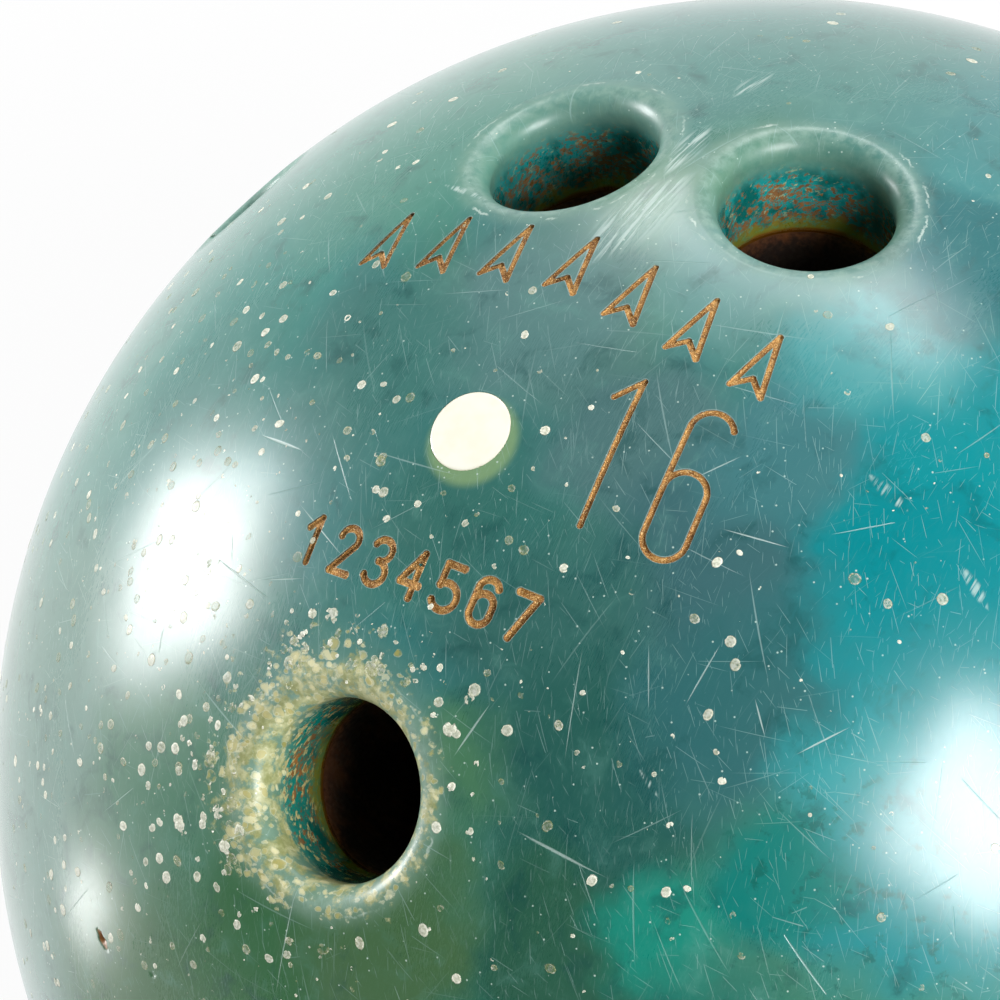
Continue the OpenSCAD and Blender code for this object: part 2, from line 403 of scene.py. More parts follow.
class Strokes:
    """The cut strokes of the engraving, found from the paint that the frame holds in them."""

    def __init__(self):
        corners, walls, tops, widths = [], [], [], []
        for name, width in stroke_width.items():
            mesh = nodes[name].data
            first = len(corners)
            corners += [vertex.co / MM for vertex in mesh.vertices]
            for face in mesh.polygons:
                triangle = [first + index for index in face.vertices]
                outward = face.normal.dot(face.center.normalized())
                if abs(outward) < 0.5:
                    walls.append(triangle)
                    widths.append(width)
                elif outward > 0.5:
                    tops.append(triangle)
        self.widths = widths
        self.wall_tree = BVHTree.FromPolygons(corners, walls)
        self.top_tree = BVHTree.FromPolygons(corners, tops)
        self.level = outer - GROOVE_DEPTH * WALL_LEVEL
        self.find_rims(corners, tops)

    def find_rims(self, corners, tops):
        """The outlines of the strokes, as directions in short steps with the edges that join them."""
        merged, number, sides = {}, [], {}
        for corner in corners:
            number.append(merged.setdefault(tuple(round(value, 3) for value in corner), len(merged)))
        for triangle in tops:
            a, b, c = (number[index] for index in triangle)
            for side in ((a, b), (b, c), (c, a)):
                sides[side] = sides.get(side, 0) + 1
        places = list(merged)
        self.rim, self.rim_edges, known = [], [], {}
        for a, b in sides:
            if (b, a) in sides:
                continue
            start, end = np.array(places[a]), np.array(places[b])
            parts = max(1, math.ceil(np.linalg.norm(end - start) / FINE_LATTICE))
            chain = []
            for part in range(parts + 1):
                key = a if part == 0 else b if part == parts else (a, b, part)
                if key not in known:
                    known[key] = len(self.rim)
                    self.rim.append(unit(start + (end - start) * part / parts))
                chain.append(known[key])
            self.rim_edges += list(zip(chain, chain[1:]))
        self.rim = np.array(self.rim)

    def inside(self, direction):
        hit = self.top_tree.ray_cast(Vector(direction) * (outer + 1), -Vector(direction), 2.0)
        return hit[0] is not None

    def distance(self, direction, limit=10.0):
        """How far a place is from the nearest edge of a stroke, and that stroke's width."""
        found = self.wall_tree.find_nearest(Vector(direction) * self.level, limit)
        return (found[3], self.widths[found[2]]) if found[0] else (limit, 1.0)

    def lattice(self, spacing, low, high, nearest, farthest):
        """Points of a hexagonal lattice that lie this near to an edge, in a frame of the flat layout."""
        across = np.arange(low[0], high[0], spacing)
        up = np.arange(low[1], high[1], spacing * math.sqrt(3) / 2)
        u, v = np.meshgrid(across, up)
        u = u + (np.arange(len(up)) % 2)[:, None] * spacing / 2
        plane = np.column_stack((u.ravel(), v.ravel()))
        coarse = {}
        kept = []
        for place, direction in zip(plane, lift(plane)):
            cell = tuple(np.round(place / NEAR_LATTICE).astype(int))
            if cell not in coarse:
                middle = lift(np.array([cell]) * NEAR_LATTICE)[0]
                coarse[cell] = self.distance(middle, farthest + 2 * NEAR_LATTICE)[0]
            if coarse[cell] < farthest + NEAR_LATTICE:
                gap = self.distance(direction, farthest + spacing)[0]
                if nearest < gap < farthest or (gap >= nearest and self.inside(direction)):
                    kept.append(direction)
        return np.array(kept)


def cover_skin(directions, edges, loops):
    """Triangles between directions all over the ball, left open inside each loop of them."""
    angle = np.linspace(0, math.tau, SOUTH_STEPS, endpoint=False)
    flat = math.sin(SOUTH_POLAR)
    bottom = np.full(SOUTH_STEPS, math.cos(SOUTH_POLAR))
    cap = np.column_stack((flat * np.cos(angle), flat * np.sin(angle), bottom))
    first = len(directions)
    plane = flatten(np.vstack((directions, cap)))
    found = delaunay_2d_cdt([Vector(place) for place in plane], edges, [], 0, 1e-6, True)
    source = [ids[0] if ids else None for ids in found[3]]
    triangles = [[source[index] for index in face] for face in found[2]]
    owner = {index: number for number, loop in enumerate(loops) for index in loop}

    def across_a_loop(face):
        owners = {owner.get(index) for index in face}
        return len(owners) == 1 and None not in owners

    triangles = [face for face in triangles if None not in face and not across_a_loop(face)]
    everything = np.vstack((directions, cap, [[0, 0, -1]]))
    south = len(everything) - 1
    triangles += [[first + step, first + (step + 1) % SOUTH_STEPS, south] for step in range(SOUTH_STEPS)]
    triangles = np.array(triangles)
    a, b, c = (everything[triangles[:, corner]] for corner in range(3))
    inwards = (np.cross(b - a, c - a) * (a + b + c)).sum(1) < 0
    triangles[inwards] = triangles[inwards][:, ::-1]
    return everything, triangles


class Shell:
    """Collects the cover's points and faces, ring by ring."""

    def __init__(self):
        self.points = []
        self.faces = []

    def add(self, points):
        first = len(self.points)
        self.points += [tuple(point) for point in points]
        return list(range(first, len(self.points)))

    def bridge(self, ring, following):
        """Quads between two rings of equal length, facing the hole."""
        for step in range(len(ring)):
            after = (step + 1) % len(ring)
            self.faces.append((ring[step], ring[after], following[after], following[step]))


# The nicks: middle, direction that the long way points to, half length, half width and depth in mm.
CHIPS = ((towards(-116.6, 42.2), towards(-60, 10), 1.9, 0.75, 0.8),
         (towards(-108.4, 44.1), towards(-20, 30), 0.9, 0.35, 0.25))


def chip_depth(direction):
    """How deep the nicks in the surface are at a direction."""
    deepest = 0.0
    for middle, lead, length, width, depth in CHIPS:
        offset = (direction - middle) * outer
        if offset @ offset > (2 * length) ** 2:
            continue
        along = unit(lead - middle * (lead @ middle))
        x = offset @ along / length
        y = offset @ np.cross(middle, along) / width
        ragged = 0.35 * noise.noise(Vector(direction) * outer * 1.3)
        deepest = max(deepest, depth * max(0.0, 1 - math.hypot(x, y) - ragged))
    return deepest


holes = [Hole(name) for name in lip_r]
strokes = Strokes()


def ball_directions():
    """All directions of the outer skin, with the loops round the holes and the rims of the strokes."""
    loops, parts, count = [], [], 0
    for ring in [hole.rings[0] for hole in holes] + [pin_hole_rings()[0]]:
        loops.append(list(range(count, count + len(ring))))
        parts.append(unit(ring))
        count += len(ring)
    edges = [(loop[step - 1], loop[step]) for loop in loops for step in range(len(loop))]
    edges += [(count + a, count + b) for a, b in strokes.rim_edges]
    rim = range(count, count + len(strokes.rim))
    parts.append(strokes.rim)
    plane = flatten(strokes.rim)
    low, high = plane.min(0) - NEAR_REACH, plane.max(0) + NEAR_REACH
    fine = strokes.lattice(FINE_LATTICE, low, high, FINE_LATTICE * 0.45, FINE_REACH)
    near = strokes.lattice(NEAR_LATTICE, low, high, FINE_REACH + FINE_LATTICE, NEAR_REACH)
    near = np.array([direction for direction in near if not strokes.inside(direction)])
    plain = spiral(LATTICE)
    plain = plain[plain[:, 2] > math.cos(SOUTH_POLAR) + SOUTH_CLEAR]
    spread = np.arange(-CHIP_REACH, CHIP_REACH, CHIP_LATTICE)
    chips = []
    for middle, lead, *sizes in CHIPS:
        along = unit(lead - middle * (lead @ middle))
        across = np.cross(middle, along)
        chips += [unit(middle * outer + along * x + across * y) for x in spread for y in spread]
        plain = plain[plain @ middle < math.cos((CHIP_REACH + 2) / outer)]
    far = [strokes.distance(direction)[0] > NEAR_REACH + 0.5 and not strokes.inside(direction)
           if direction[2] > GRIP_CAP else True for direction in plain]
    parts += [fine, near, plain[np.array(far)], np.array(chips)]
    directions = np.vstack(parts)
    keep = np.ones(len(directions), bool)
    for out, radius in [(hole.out, hole.mouth_r) for hole in holes] + [(np.array((0, 0, 1.0)), pin_r)]:
        away = np.degrees(np.arccos(np.clip(directions @ out, -1, 1)))
        keep &= away > math.degrees(math.asin(radius / outer)) + math.degrees(RIM_CLEAR / outer)
    keep[:rim.stop] = True
    return directions[keep], loops, edges, rim


directions, loops, edges, rim = ball_directions()
skin, skin_faces = cover_skin(directions, edges, loops)


def groove_depths():
    """Depth of the cut at each point of the skin: round-bottomed strokes, and the nicks."""
    depths = np.zeros(len(skin))
    for index in range(rim.stop, len(skin)):
        direction = skin[index]
        if direction[2] > GRIP_CAP:
            gap, width = strokes.distance(direction, 0.8)
            if gap < 0.8 and strokes.inside(direction):
                share = min(1.0, gap / (width / 2))
                depths[index] = GROOVE_DEPTH * math.sqrt(1 - (1 - share) ** 2)
        if direction @ CHIPS[0][0] > 0.99:
            depths[index] = chip_depth(direction)
    return depths


depths = groove_depths()
cut = depths > 0
on_rim = np.zeros(len(skin), bool)
on_rim[rim.start:rim.stop] = True


def cover_mesh():
    """The whole shell: the skin outside, the mouths and walls of the holes, and the inside of the cover."""
    shell = Shell()
    outside = shell.add(skin * (outer - depths)[:, None])
    shell.faces += [tuple(face) for face in skin_faces]
    ring_sets = [hole.rings for hole in holes] + [pin_hole_rings()]
    ends = [rings[-1] for rings in ring_sets]
    inner_loops, count = [], 0
    for ring in ends:
        inner_loops.append(list(range(count, count + len(ring))))
        count += len(ring)
    plain = spiral(INNER_LATTICE)
    plain = plain[plain[:, 2] > math.cos(SOUTH_POLAR) + SOUTH_CLEAR]
    for ring in ends:
        middle = unit(ring.mean(0))
        plain = plain[plain @ middle < math.cos(np.arccos(unit(ring) @ middle).max() + 1.5 / outer)]
    inner_edges = [(loop[step - 1], loop[step]) for loop in inner_loops for step in range(len(loop))]
    plain = np.vstack([unit(ring) for ring in ends] + [plain])
    lining, lining_faces = cover_skin(plain, inner_edges, inner_loops)
    first = shell.add(lining * inner)[0]
    shell.faces += [tuple(first + index for index in face[::-1]) for face in lining_faces]
    for loop, inner_loop, rings in zip(loops, inner_loops, ring_sets):
        ring = loop
        for following in rings[1:-1]:
            following = shell.add(following)
            shell.bridge(ring, following)
            ring = following
        shell.bridge(ring, [first + index for index in inner_loop])
    cover = join("cover", shell.points, shell.faces)
    true_ball = np.zeros((len(shell.points), 3))
    plain_skin = ~cut
    true_ball[:len(skin)][plain_skin] = skin[plain_skin]
    cover.data.normals_split_custom_set_from_vertices(true_ball)
    # the outlines of the strokes as an attribute; the finish whitens them, partly for the worn lip of the
    # cut and partly as a painted highlight along it
    rim_wear_and_glint = cover.data.attributes.new("worn_edge", "FLOAT", "POINT")
    edge = np.zeros(len(shell.points))
    edge[:len(skin)][on_rim] = 1.0
    rim_wear_and_glint.data.foreach_set("value", edge)
    return cover


# Clouds of colour in the resin: heading and height of the middle, core and fading reach in mm, colour.
CLOUDS = (
    (-140, 42, 25, 60, (108, 144, 132)), (170, 50, 20, 50, (80, 138, 126)),
    (130, 45, 20, 50, (76, 136, 122)), (90, 38, 25, 50, (66, 130, 122)),
    (60, 35, 20, 42, (50, 126, 126)), (40, 25, 20, 50, (0, 122, 126)),
    (5, 38, 20, 50, (30, 128, 132)), (-60, 38, 20, 50, (20, 108, 96)),
    (-100, 40, 20, 45, (50, 102, 58)), (12, 54, 24, 40, (8, 130, 136)),
    (173, 64, 8, 26, (44, 128, 118)), (134, 63, 8, 26, (62, 132, 116)),
    (-166, 66, 8, 24, (50, 120, 112)), (-135, 66, 8, 22, (50, 112, 98)),
    (105, 60, 6, 20, (84, 136, 128)), (90, 80, 9, 22, (84, 124, 122)),
    (166, 80, 6, 20, (62, 116, 110)), (-70, 84, 6, 18, (50, 106, 98)),
    (60, 68, 6, 18, (88, 138, 134)), (18, 78, 7, 18, (74, 112, 112)),
    (-7, 71, 8, 19, (58, 100, 104)), (20, 68, 6, 16, (62, 116, 120)),
    (-41, 73, 8, 20, (50, 100, 94)), (-46, 63, 9, 22, (36, 90, 82)),
    (-22, 63, 7, 17, (46, 100, 102)), (-100, 54, 10, 24, (42, 102, 58)),
    (-78, 55, 7, 19, (70, 108, 70)), (-56, 55, 7, 17, (42, 92, 72)),
    (-118, 56, 7, 20, (70, 124, 98)), (-66, 66, 2, 11, (70, 120, 88)),
    (36, 63, 5, 14, (60, 146, 148)), (22, 60, 5, 12, (0, 132, 138)),
    (50, 54, 8, 18, (0, 100, 104)), (6, 57, 9, 15, (0, 126, 133)),
    (-18, 54, 5, 14, (40, 144, 148)), (-22, 46, 8, 20, (6, 128, 132)),
    (-31, 52, 5, 13, (0, 116, 108)), (-43, 53, 4, 12, (22, 134, 116)),
)


def scratches(finish, spacing, width, reach, offset, bias=0.0):
    """Straight scratches over the ball, one to each cell of a random lattice, from 0 to 1.
    A bias turns most of them the way that the ball was drawn over the lane."""
    shift = (offset, offset * 0.7, -offset)
    distance = finish.node("TexVoronoi", {}, {"Vector": finish.vector("ADD", finish.place, shift),
                                              "Scale": 1 / spacing})
    chance = distance.sibling("Color")
    middle = finish.vector("SUBTRACT", distance.sibling("Position"), shift)
    up = finish.vector("NORMALIZE", middle)
    from_middle = finish.vector("SUBTRACT", finish.place, middle)
    lead = finish.vector("MULTIPLY_ADD", chance, (2, 2, 2), (bias - 1, -1, -1))
    along = finish.vector("NORMALIZE", finish.vector("CROSS_PRODUCT", up, lead))
    side = finish.vector("CROSS_PRODUCT", up, along)
    run = finish.dot(from_middle, along)
    off = abs(finish.dot(from_middle, side) + run * run * 0.003)
    strength = finish.fade(finish.dot(chance, (0.3, 0.9, 0.4)), 0.5, 1.35)
    taper = run * run * (width / reach ** 2)
    return finish.fade(off + taper, width, width * 0.3) * strength


# Single knocks and scuffs: both ends as (heading, height), half width in mm, strength.
KNOCKS = (
    ((-59, 62.5), (-49, 58), 0.26, 0.6), ((-58, 62), (-48, 57.5), 0.13, 0.5),
    ((1, 71), (3, 66), 0.13, 0.7), ((-21, 58), (-13.5, 56.5), 0.14, 0.7),
    ((-165, 72.5), (-158, 77), 0.26, 0.9), ((-19, 62.5), (-22, 60), 0.13, 0.7),
    ((9, 74), (17.5, 71), 0.12, 0.6), ((-68, 67.5), (-59, 71), 0.18, 0.6),
    ((-92, 48.5), (-91.5, 58), 0.12, 0.5), ((-49, 65.5), (-36, 72.5), 0.1, 0.5),
    ((-28, 65), (-16, 66.5), 0.12, 0.5), ((-139.5, 69), (-122, 72), 0.15, 0.8),
    ((-142, 76.5), (-113, 78), 0.13, 0.7), ((-164.5, 79), (-129, 80.5), 0.1, 0.6),
    ((-119, 75), (-128, 72), 0.13, 0.6), ((-33, 66), (-25, 70), 0.12, 0.5),
)
SCUFFS = (
    ((131, 66), (119.5, 70), 0.7, 1.0), ((91, 56.5), (90.5, 51), 1.6, 1.0),
    ((88, 66.5), (89.5, 59.5), 2.2, 1.0), ((89, 76.5), (84, 64.5), 4.6, 0.9),
    ((18.5, 63), (14, 59.5), 1.1, 0.8), ((10, 55.5), (6, 52.5), 1.0, 0.7),
    ((-38.5, 63.5), (-38, 61), 0.5, 0.8),
)


def knock(finish, start, end, width, strength):
    """One knock or scuff, tapering to its ends."""
    first, last = towards(*start), towards(*end)
    along = unit(last - first)
    across = np.cross(unit(first + last), along)
    half = np.linalg.norm(last - first) * outer / 2
    x = finish.dot(finish.place, along)
    y = finish.dot(finish.place, across)
    own_side = finish.fade(finish.dot(finish.place, first + last), 0, outer, 0, strength)
    return finish.fade(abs(y) + x * x * (width / half ** 2), width, width * 0.3) * own_side


CLUMP_SIDE = np.array((-0.8, 0.56, 0.2))   # the way from the thumb hole to where its grit is thickest
MILK = {"thumb_hole": 0.85, "left_finger_hole": 0.6, "right_finger_hole": 0.5, "balance_hole": 0.5}


def distance_from(finish, direction, place):
    """Distance in millimetres from a direction's point on the surface."""
    return finish.vector("DISTANCE", place, tuple(direction * outer))


def cover_finish():
    finish = Finish("clouded_cover")
    place, depth, vector, dot = finish.place, finish.depth, finish.vector, finish.dot
    fade, mix, over = finish.fade, finish.mix, finish.over
    clouds, stretch = finish.clouds, finish.stretch
    drift = clouds(place, 30.0, detail=2.0, out=1)
    curl = clouds(place, 9.0, detail=4.0, out=1)
    warped = vector("MULTIPLY_ADD", drift, (14, 14, 14), place)
    warped = vector("MULTIPLY_ADD", curl, (11, 11, 11), warped)
    warped = vector("ADD", warped, (-12.5, -12.5, -12.5))

    # marbling of the resin: first for the whole ball, then the clouds that lie round the grip
    marble = clouds(warped, 60.0, detail=2.0)
    finish.colour = mix(fade(marble, 0.36, 0.5), paint(70, 122, 96), paint(50, 116, 114))
    over(fade(marble, 0.52, 0.68), paint(4, 140, 146))
    for heading, height, core_reach, fade_reach, tint in CLOUDS:
        share = fade(distance_from(finish, towards(heading, height), warped), fade_reach, core_reach)
        over(share, paint(*tint))
    wisps = clouds(warped, 6.0, detail=5.0, roughness=0.62)
    clear = fade(distance_from(finish, towards(2, 46), warped), 54, 42)
    over(fade(wisps, 0.52, 0.8) * (0.3 - clear * 0.24), paint(104, 160, 148))
    over(fade(wisps, 0.48, 0.25) * 0.5, paint(4, 66, 66))

    dark = clouds(place, 2.6, detail=4.0, roughness=0.65)
    bank = fade(distance_from(finish, towards(-26, 48), warped), 30, 10)
    over(fade(dark, 0.56, 0.66) * bank * 0.6, paint(0, 84, 74))

    # walls of the holes: clear saturated resin with long flecks, and a stained line at the core
    wall = fade(depth, 1.2, 4.5)
    deep = fade(depth, 3.2, 6.5)
    fleck_place = stretch(place, (1.0, 1.0, 2.6))
    flecks = clouds(fleck_place, 1.7, detail=4.0, roughness=0.66)
    rust = clouds(stretch(place, (1.0, 1.0, 1.8), (31, 7, 3)), 0.9, detail=4.0, roughness=0.7)
    patch = clouds(place, 4.2, detail=4.0, roughness=0.6)
    crazed = clouds(place, 1.6, detail=4.0, roughness=0.65)
    thumb_side = fade(dot(place, (0, 1, 0)), 8, -8)
    over(deep * 0.92, mix(thumb_side, paint(0, 140, 140), paint(0, 126, 116)))
    over(deep * fade(patch, 0.54, 0.38) * 0.75, paint(4, 72, 62))
    cream = fade(flecks + patch * 0.3 + thumb_side * 0.03, 0.73, 0.79) * (thumb_side * 0.4 + 0.5)
    over(deep * cream, paint(204, 184, 120))
    brown = fade(rust + patch * 0.5 + depth * 0.014 - thumb_side * 0.05, 0.87, 0.94)
    over(deep * brown * 0.9, mix(crazed, paint(54, 28, 10), paint(178, 112, 44)))
    low = fade(depth + patch * 10 - 5, 11.5, 14.4)
    over(low * 0.7, paint(122, 140, 36))
    over(fade(depth + patch * 2.4 - 1.2, 13.9, 14.6), paint(134, 86, 26))

    # mouths: the resin turns milky where the round was cut and buffed
    mouths = wall * 0.0
    for hole in holes:
        beside = vector("LENGTH", vector("CROSS_PRODUCT", place, tuple(hole.out)))
        own_side = fade(dot(place, hole.out), 0, outer / 2)
        mouth = fade(beside, hole.mouth_r + 2.2, hole.mouth_r - 1.0) * (1 - deep) * own_side
        mouths = mouths.maths("MAXIMUM", mouths, mouth)
        milk = mouth * fade(crazed, 0.25, 0.75, MILK[hole.name] * 0.4, MILK[hole.name])
        over(milk, paint(122, 156, 138))
        buffed = fade(abs(beside - hole.mouth_r + 1.4), 1.5, 0.2) * fade(crazed, 0.35, 0.7) * own_side
        over(buffed * fade(depth, 2.4, 1.2) * 0.3, paint(168, 196, 186))
        crack = fade(abs(beside + crazed * 1.6 - hole.mouth_r - 1.3), 0.22, 0.06)
        crack = crack * fade(patch, 0.5, 0.62) * own_side
        over(crack * fade(depth, 1.0, 0.4) * 0.6, paint(206, 222, 212))
    thumb = holes[0]
    beside = vector("LENGTH", vector("CROSS_PRODUCT", place, tuple(thumb.out)))
    from_mouth = vector("SUBTRACT", place, tuple(thumb.out * outer))
    lean = fade(dot(from_mouth, CLUMP_SIDE), -14, 14)
    ring = fade(beside, lean * 4.0 + thumb.mouth_r + 3.5, thumb.mouth_r - 1.5) * fade(depth, 8.0, 4.0)
    ring = ring * fade(dot(place, thumb.out), 0, outer / 2)
    over(ring * 0.45, paint(124, 156, 136))
    ragged = clouds(place, 2.6, detail=5.0, roughness=0.66)
    moss = fade(ring * 0.3 + ragged + lean * 0.08, 0.76, 0.9) * fade(ring, 0.0, 0.1)
    moss_colour = mix(fade(crazed, 0.35, 0.65), paint(160, 156, 84), paint(216, 210, 156))
    over(moss * 0.7, moss_colour)
    bent = vector("MULTIPLY_ADD", clouds(place, 1.8, detail=1.0, out=1), (1.1, 1.1, 1.1), place)
    for size, sparse in ((2.6, 0.62), (1.5, 0.5)):
        cells = finish.node("TexVoronoi", {}, {"Vector": stretch(bent, (1, 1.35, 1)), "Scale": 1 / size})
        chance = cells.sibling("Color")
        inside = dot(chance, (0.3, 0, 0)) + (crazed - 0.5) * 0.6 + 0.12 - cells
        there = ring + lean * 0.35 + (ragged - 0.5) * 2.2 - dot(chance, (0, 0.6, 0))
        there = fade(there, sparse - 0.25, sparse) * fade(ring, 0.0, 0.1)
        blob_colour = mix(dot(chance, (0, 0, 1)), paint(170, 160, 74), paint(236, 230, 184))
        over(fade(inside, -0.08, 0.14) * there * 0.75, blob_colour)
        over(fade(abs(inside), 0.06, 0.0) * there * 0.3, paint(240, 240, 214))

    # painted glow: the white side of the pin, seen through the resin next to it, is painted in as a pale
    # yellow-green patch on the cover
    painted_pin_glow = fade(vector("DISTANCE", place, (1.0, -1.1, outer)), 7.0, 5.4)
    over(painted_pin_glow * 0.45 * fade(depth, 1.5, 0.5), paint(160, 186, 120))

    # fine white bubbles
    fine = finish.node("TexVoronoi", {}, {"Vector": place, "Scale": 1 / 1.7})
    over(fade(fine, 0.095, 0.05) * 0.75 * (1 - wall), paint(196, 216, 206))

    # the nicks show raw brown resin
    nick = fade(distance_from(finish, CHIPS[0][0], place), 4.5, 3.5) * fade(depth, 0.06, 0.22)
    over(nick, mix(patch, paint(96, 52, 24), paint(214, 150, 84)))

    # wear: a fine nap, crossing scratches, and rubbed patches
    nap = clouds(stretch(place, (4.5, 0.4, 1.6)), 1.0, detail=3.0, roughness=0.65)
    rubbed = clouds(place, 26.0, detail=2.0, roughness=0.6)
    hairs = scratches(finish, 1.5, 0.05, 1.1, 0.0, 1.3) * 0.5
    for spacing, width, reach, offset, bias in ((3.1, 0.05, 2.6, 17, 0.9), (5.3, 0.06, 4.2, 53, 0.6),
                                                (7.0, 0.06, 5.5, 29, 0.4)):
        hairs = hairs.maths("MAXIMUM", hairs, scratches(finish, spacing, width, reach, offset, bias) * 0.6)
    cuts = scratches(finish, 11, 0.1, 5.5, 81)
    cuts = cuts.maths("MAXIMUM", cuts, scratches(finish, 19, 0.15, 8, 143, 0.5))
    lines = clouds(stretch(place, (1.9, 0.08, 0.12)), 1.0, detail=3.0, roughness=0.6)
    knocks, scuffs = cuts * 0.0, cuts * 0.0
    for ends_and_size in KNOCKS:
        knocks = knocks.maths("MAXIMUM", knocks, knock(finish, *ends_and_size))
    for ends_and_size in SCUFFS:
        scuffs = scuffs.maths("MAXIMUM", scuffs, knock(finish, *ends_and_size))
    knocks = knocks.maths("MAXIMUM", knocks, scuffs * fade(lines, 0.46, 0.6)) * (1 - wall)
    cuts = cuts.maths("MAXIMUM", cuts * (1 - wall) * 0.6, knocks)
    marks = cuts.maths("MAXIMUM", cuts, hairs * (1 - wall))
    rim_wear_and_glint = finish.node("Attribute", {"attribute_name": "worn_edge"}, {}, out="Fac")
    over(fade(nap, 0.52, 0.8) * (0.08 - clear * 0.06) * (1 - wall), paint(150, 186, 180))
    over(marks * 0.6, paint(168, 198, 194))
    over(knocks * 0.45, paint(208, 222, 214))
    # the stroke outlines made lighter: partly wear of the cut lip, partly a painted highlight on the cut
    # edge
    over(fade(rim_wear_and_glint, 0.5, 1.0) * 0.5, paint(190, 206, 196))
    relief = nap * 0.04 - cuts
    normal = finish.bump(relief, 0.035)
    roughness = fade(rubbed, 0.3, 0.7, 0.25, 0.32) + marks * 0.25 + fade(nap, 0.3, 0.8) * 0.04
    grazing = finish.node("LayerWeight", {}, {"Blend": 0.5}, out="Facing")
    roughness = roughness * (1 - clear * 0.2) * (1 - fade(grazing, 0.5, 0.85, 0.0, 0.55) * (1 - mouths))
    roughness = roughness + mouths * 0.16
    return finish.shell(base_color=finish.colour, roughness=roughness, normal=normal, coat_weight=0.2,
                        coat_roughness=0.2, ior=1.57)


cover = cover_mesh()
dress(cover, cover_finish())
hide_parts("coverstock")
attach(cover, "root")


# ---- Engraving paint ----
# Copper-bronze paint, wiped into the cut strokes while wet and cleaned off the ball round them.
# One skin for each group of strokes: the weight number, the running number and the lane arrows.

PAINT_FILL = 0.5         # share of the groove's depth that stays open above the paint
PAINT_RECESS = 0.07      # how far below the rim the paint starts, in millimetres
PAINT_BED = 0.12         # how far its hidden underside goes into the cover


def copper_finish():
    finish = Finish("copper_paint")
    grain = finish.clouds(finish.place, 0.16, detail=4.0, roughness=0.7)
    lumps = finish.clouds(finish.place, 0.6, detail=4.0, roughness=0.6)
    patches = finish.clouds(finish.place, 3.2, detail=3.0)
    finish.colour = finish.mix(finish.fade(patches, 0.35, 0.65), paint(158, 106, 46), paint(206, 152, 82))
    finish.over(finish.fade(lumps, 0.5, 0.32) * 0.75, paint(96, 58, 26))
    finish.over(finish.fade(grain, 0.5, 0.32) * 0.75, paint(76, 44, 22))
    # painted shade: a dark band along the edges of the paint, where it meets the walls of the groove
    edge = finish.fade(finish.depth + grain * 0.1, 0.32, 0.17)
    finish.over(edge * 0.75, paint(84, 48, 22))
    # metal flakes in the paint, painted bright as glints
    flakes_and_glints = finish.fade(grain, 0.54, 0.64) * (1 - edge * 0.6)
    finish.over(flakes_and_glints, paint(255, 222, 156))
    return finish.shell(base_color=finish.colour, metallic=finish.fade(lumps, 0.3, 0.7, 0.2, 0.45),
                        roughness=finish.fade(grain, 0.3, 0.7, 0.62, 0.4), normal=finish.bump(grain, 0.09))


def paint_skin(name, node):
    """Lines the strokes of one group: a top just above the groove's floor, and a closed bed under it."""
    low, high = (np.array(corner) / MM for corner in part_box(node))
    middle = skin[skin_faces].mean(1) * outer
    near = ((middle > low - 0.6) & (middle < high + 0.6)).all(1)
    touching = cut[skin_faces].any(1)
    enclosed = on_rim[skin_faces].all(1) & near
    chosen = []
    for number in np.nonzero(near & (touching | enclosed) & (cut | on_rim)[skin_faces].all(1))[0]:
        if touching[number] or strokes.inside(unit(middle[number])):
            chosen.append(skin_faces[number])
    used = sorted({index for face in chosen for index in face})
    number = {index: place for place, index in enumerate(used)}
    directions = skin[used]
    top = PAINT_RECESS + depths[used] * PAINT_FILL
    top += [0.02 * noise.noise(Vector(direction) * outer * 4) for direction in directions]
    top = (outer - top)[:, None]
    points = np.vstack((directions * top, directions * (top - PAINT_BED)))
    count = len(used)
    faces, sides = [], {}
    for face in chosen:
        a, b, c = (number[index] for index in face)
        faces += [(a, b, c), (count + c, count + b, count + a)]
        for side in ((a, b), (b, c), (c, a)):
            sides[side] = True
    faces += [(a, count + a, count + b, b) for a, b in sides if (b, a) not in sides]
    return join(name, points, faces)


copper = copper_finish()
for name, node in (("weight_number_skin", "weight_number_paint"),
                   ("running_number_skin", "running_number_paint"),
                   ("lane_arrow_skin", "lane_arrow_paint")):
    piece = paint_skin(name, node)
    dress(piece, copper)
    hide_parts(node)
    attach(piece, "root")


# ---- Bubbles ----
# Air that was trapped when the resin was poured, cut open and polished over at the surface.
# Flat cream-white lenses with bright rims, crowded on the left of the grip and round the thumb hole.

BUBBLE_CROWDS = (        # heading, height, reach in mm, bubbles per square centimetre
    (-130, 48, 40, 7.5), (-165, 60, 34, 6.5), (-110, 62, 22, 6.0), (-100, 70, 20, 7.0),
    (-85, 50, 32, 3.5), (-60, 76, 20, 4.0), (160, 70, 28, 4.0), (-30, 70, 34, 2.0),
)
BUBBLE_BASE = 0.6        # ... over the rest of the ball
CLUMP_REACH = 3.4        # how far the grit goes from the thumb hole's mouth, in millimetres


